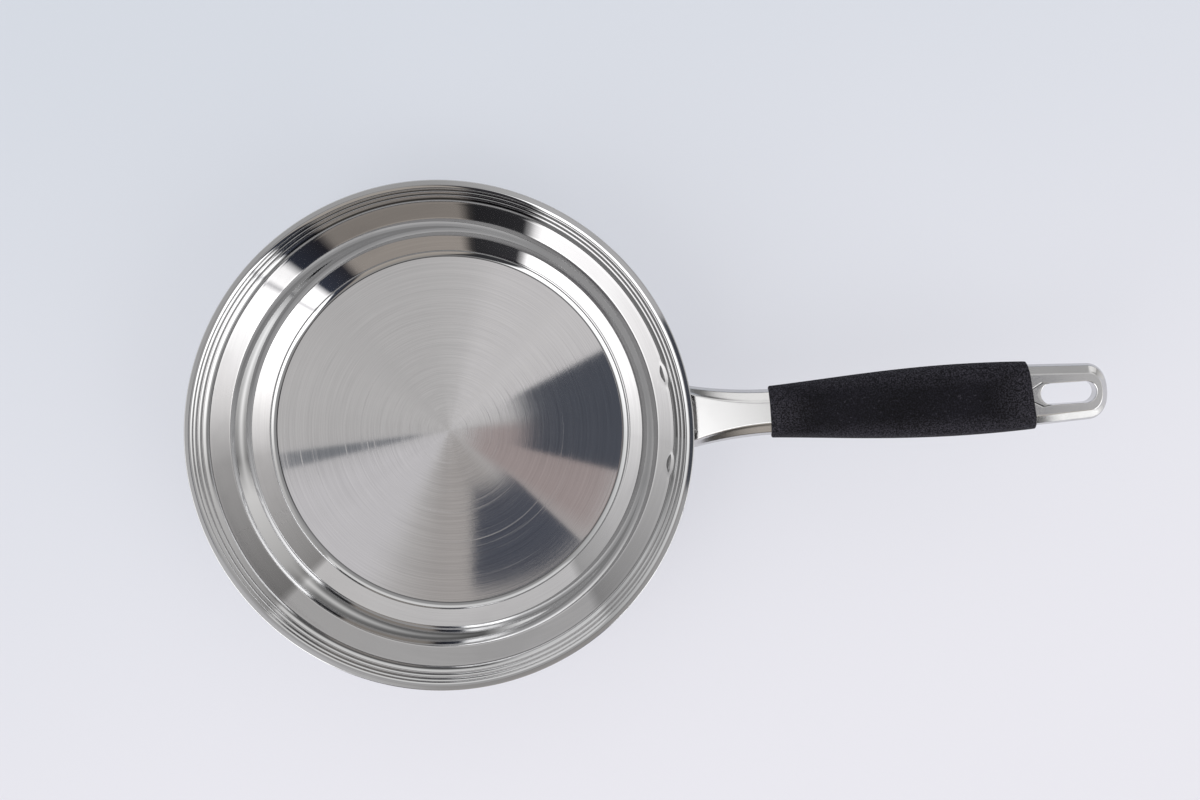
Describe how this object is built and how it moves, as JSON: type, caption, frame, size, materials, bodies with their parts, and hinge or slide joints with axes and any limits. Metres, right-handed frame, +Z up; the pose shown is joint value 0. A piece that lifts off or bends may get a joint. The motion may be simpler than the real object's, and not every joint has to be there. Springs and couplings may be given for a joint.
{
  "type": "frying pan",
  "caption": "Round stainless steel frying pan with a stepped flaring wall, a satin floor, a capsule base and a hollow steel handle with a black silicone sleeve and a hang slot.",
  "frame": {"origin": "centre of the flat underside of the base", "axes": "+X along the handle, away from the pan; +Z up, out of the open top; +Y across, to the left of someone looking along the handle from the pan"},
  "size_m": [0.426, 0.24, 0.0744],
  "materials": {
    "bowl_steel": "polished",
    "base_steel": "satin",
    "core_aluminium": "satin",
    "bracket_steel": "satin",
    "handle_steel": "polished",
    "sleeve_silicone": "matte"
  },
  "bodies": {
    "root": {"pan_body": "bowl_steel", "base_core": "core_aluminium", "base_cap": "base_steel", "handle_bracket": "bracket_steel", "spot_weld_left": "bracket_steel", "spot_weld_right": "bracket_steel", "handle_top_shell": "handle_steel", "handle_bottom_shell": "handle_steel", "slot_liner": "handle_steel", "grip_sleeve": "sleeve_silicone"}
  },
  "joints": []
}
